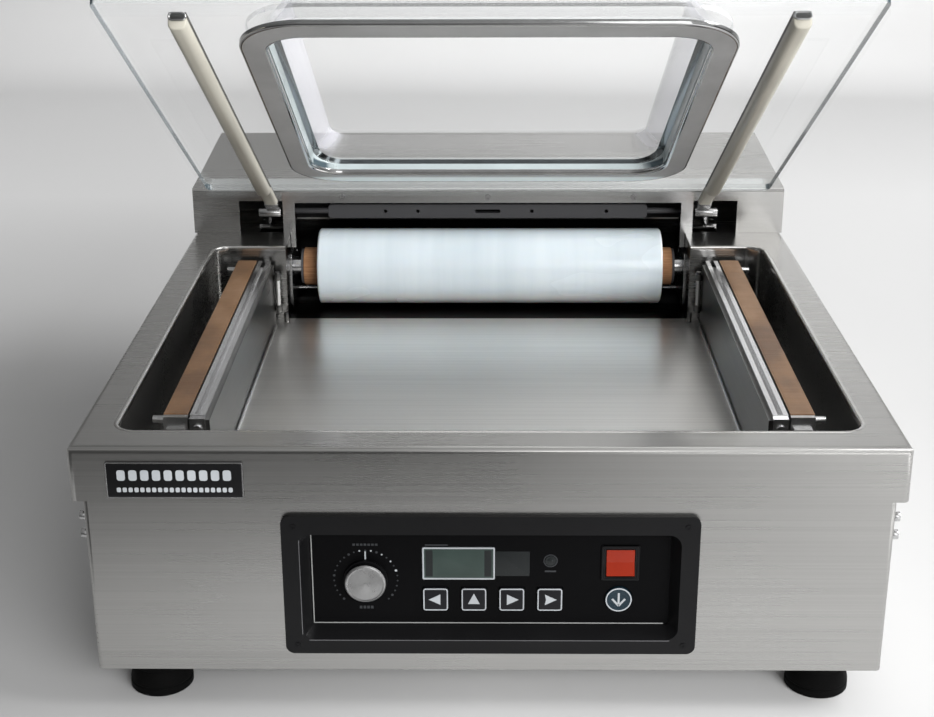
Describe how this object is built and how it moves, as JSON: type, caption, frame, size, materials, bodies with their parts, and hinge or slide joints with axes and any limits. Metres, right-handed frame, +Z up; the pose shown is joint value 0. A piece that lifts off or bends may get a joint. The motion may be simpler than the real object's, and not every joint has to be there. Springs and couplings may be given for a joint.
{
  "type": "vacuum packing machine",
  "caption": "Table-top chamber vacuum packing machine with a clear domed lid, film roll, heated seal bars that lift, and a front control panel.",
  "frame": {"origin": "centre of the footprint on the surface it stands on", "axes": "+Z up, control panel facing -Y, +X to the right seen from the front"},
  "size_m": [0.5, 0.616, 0.4393],
  "materials": {
    "brushed_steel": "brushed, grain along the width",
    "floor_steel": "brushed satin",
    "bright_steel": "polished",
    "satin_steel": "satin",
    "screw_steel": "bright",
    "dark_liner": "matt black",
    "dark_bar": "satin dark grey",
    "foot_rubber": "matt",
    "badge_black": "gloss",
    "rail_aluminium": "bright extruded",
    "bar_aluminium": "satin extruded",
    "bezel_black": "fine texture",
    "panel_black": "satin film",
    "lcd": "unlit display",
    "dark_window": "smoked",
    "board_green": "solder resist",
    "knob_black": "satin",
    "knob_metal": "turned face",
    "key_black": "satin",
    "start_blue": "gloss",
    "rocker_red": "translucent red",
    "clear_acrylic": "clear",
    "dome_acrylic": "clear",
    "frame_polished": "polished",
    "gasket_clear": "silicone",
    "bar_cream": "satin",
    "bush_brass": "machined",
    "ptfe_brown": "coated glass cloth",
    "element": "rolled strip",
    "cylinder_metal": "anodised",
    "film_white": "clear film, wound",
    "cardboard": "spiral wound card",
    "chuck_grey": "moulded",
    "pump_cast": "painted casting",
    "motor_paint": "paint",
    "fan_black": "moulded",
    "filter_white": "moulded",
    "hose_black": "reinforced",
    "valve_brass": "machined",
    "transformer_steel": "varnished",
    "inlet_black": "moulded"
  },
  "bodies": {
    "machine": {"deck_pan": "brushed_steel", "chamber_tub": "brushed_steel", "chamber_floor": "floor_steel", "guide_panels": "satin_steel", "lower_housing": "brushed_steel", "base_plate": "satin_steel", "back_panel": "brushed_steel", "rear_cover": "brushed_steel", "rear_frame": "bright_steel", "cavity_liner": "dark_liner", "film_guide_bar": "dark_bar", "rubber_feet": "foot_rubber", "foot_bolts": "screw_steel", "casing_screws": "screw_steel", "badge_plate": "badge_black", "guide_rails": "rail_aluminium", "control_bezel": "bezel_black", "control_panel": "panel_black", "lcd_display": "lcd", "display_windows": "dark_window", "control_board": "board_green", "switch_frame": "bezel_black", "hinge_brackets": "screw_steel", "hinge_pins": "screw_steel", "torsion_springs": "satin_steel", "lift_cylinders": "cylinder_metal", "roll_spindles": "screw_steel", "vacuum_pump": "pump_cast", "pump_motor": "motor_paint", "exhaust_filter": "filter_white", "vacuum_hose": "hose_black", "solenoid_valve": "valve_brass", "transformer": "transformer_steel", "power_inlet": "inlet_black"},
    "lid": {"lid_plate": "clear_acrylic", "window_frame": "frame_polished", "lid_dome": "dome_acrylic", "lid_gasket": "gasket_clear", "counter_bars": "bar_cream", "hinge_arms": "satin_steel", "hinge_bushes": "bush_brass"},
    "seal_bar_left": {"seal_bar_left": "bar_aluminium", "ptfe_strip_left": "ptfe_brown", "heating_element_left": "element"},
    "seal_bar_right": {"seal_bar_right": "bar_aluminium", "ptfe_strip_right": "ptfe_brown", "heating_element_right": "element"},
    "film_roll": {"film_roll": "film_white", "roll_core": "cardboard", "roll_chucks": "chuck_grey"},
    "knob": {"knob": "knob_black", "knob_cap": "knob_metal"},
    "arrow_key_1": {"arrow_key_1": "key_black"},
    "arrow_key_2": {"arrow_key_2": "key_black"},
    "arrow_key_3": {"arrow_key_3": "key_black"},
    "arrow_key_4": {"arrow_key_4": "key_black"},
    "start_button": {"start_button": "start_blue"},
    "rocker": {"rocker_switch": "rocker_red"},
    "pump_rotor": {"motor_fan": "fan_black"}
  },
  "joints": [
    {"name": "lid_hinge", "type": "hinge", "parent": "machine", "child": "lid", "pos_m": [0, 0.1857, 0.2119], "axis": [1, 0, 0], "range_deg": [0, 30.19], "stiffness_Nm_per_rad": 8, "springref_deg": -88.81},
    {"name": "left_bar_lift", "type": "slide", "parent": "machine", "child": "seal_bar_left", "axis": [0, 0, 1], "range_m": [0, 0.0135]},
    {"name": "right_bar_lift", "type": "slide", "parent": "machine", "child": "seal_bar_right", "axis": [0, 0, 1], "range_m": [0, 0.0135]},
    {"name": "film_roll_spin", "type": "hinge", "parent": "machine", "child": "film_roll", "pos_m": [0, 0.1455, 0.1525], "axis": [1, 0, 0], "continuous": true},
    {"name": "knob_turn", "type": "hinge", "parent": "machine", "child": "knob", "pos_m": [-0.0757, -0.2943, 0.0883], "axis": [0, 1, 0], "range_deg": [-140, 140]},
    {"name": "rocker_tilt", "type": "hinge", "parent": "machine", "child": "rocker", "pos_m": [0.0808, -0.2898, 0.0999], "axis": [1, 0, 0], "range_deg": [0, 16]},
    {"name": "start_press", "type": "slide", "parent": "machine", "child": "start_button", "axis": [0, 1, 0], "range_m": [0, 0.001], "stiffness_N_per_m": 400, "springref_m": -0.0005},
    {"name": "pump_rotor_spin", "type": "hinge", "parent": "machine", "child": "pump_rotor", "pos_m": [0, 0.06, 0.072], "axis": [1, 0, 0], "continuous": true},
    {"name": "arrow_press_1", "type": "slide", "parent": "machine", "child": "arrow_key_1", "axis": [0, 1, 0], "range_m": [0, 0.001], "stiffness_N_per_m": 400, "springref_m": -0.0005},
    {"name": "arrow_press_2", "type": "slide", "parent": "machine", "child": "arrow_key_2", "axis": [0, 1, 0], "range_m": [0, 0.001], "stiffness_N_per_m": 400, "springref_m": -0.0005},
    {"name": "arrow_press_3", "type": "slide", "parent": "machine", "child": "arrow_key_3", "axis": [0, 1, 0], "range_m": [0, 0.001], "stiffness_N_per_m": 400, "springref_m": -0.0005},
    {"name": "arrow_press_4", "type": "slide", "parent": "machine", "child": "arrow_key_4", "axis": [0, 1, 0], "range_m": [0, 0.001], "stiffness_N_per_m": 400, "springref_m": -0.0005}
  ],
  "couplings": [
    {"joint": "right_bar_lift", "follows": "left_bar_lift", "ratio": 1}
  ]
}
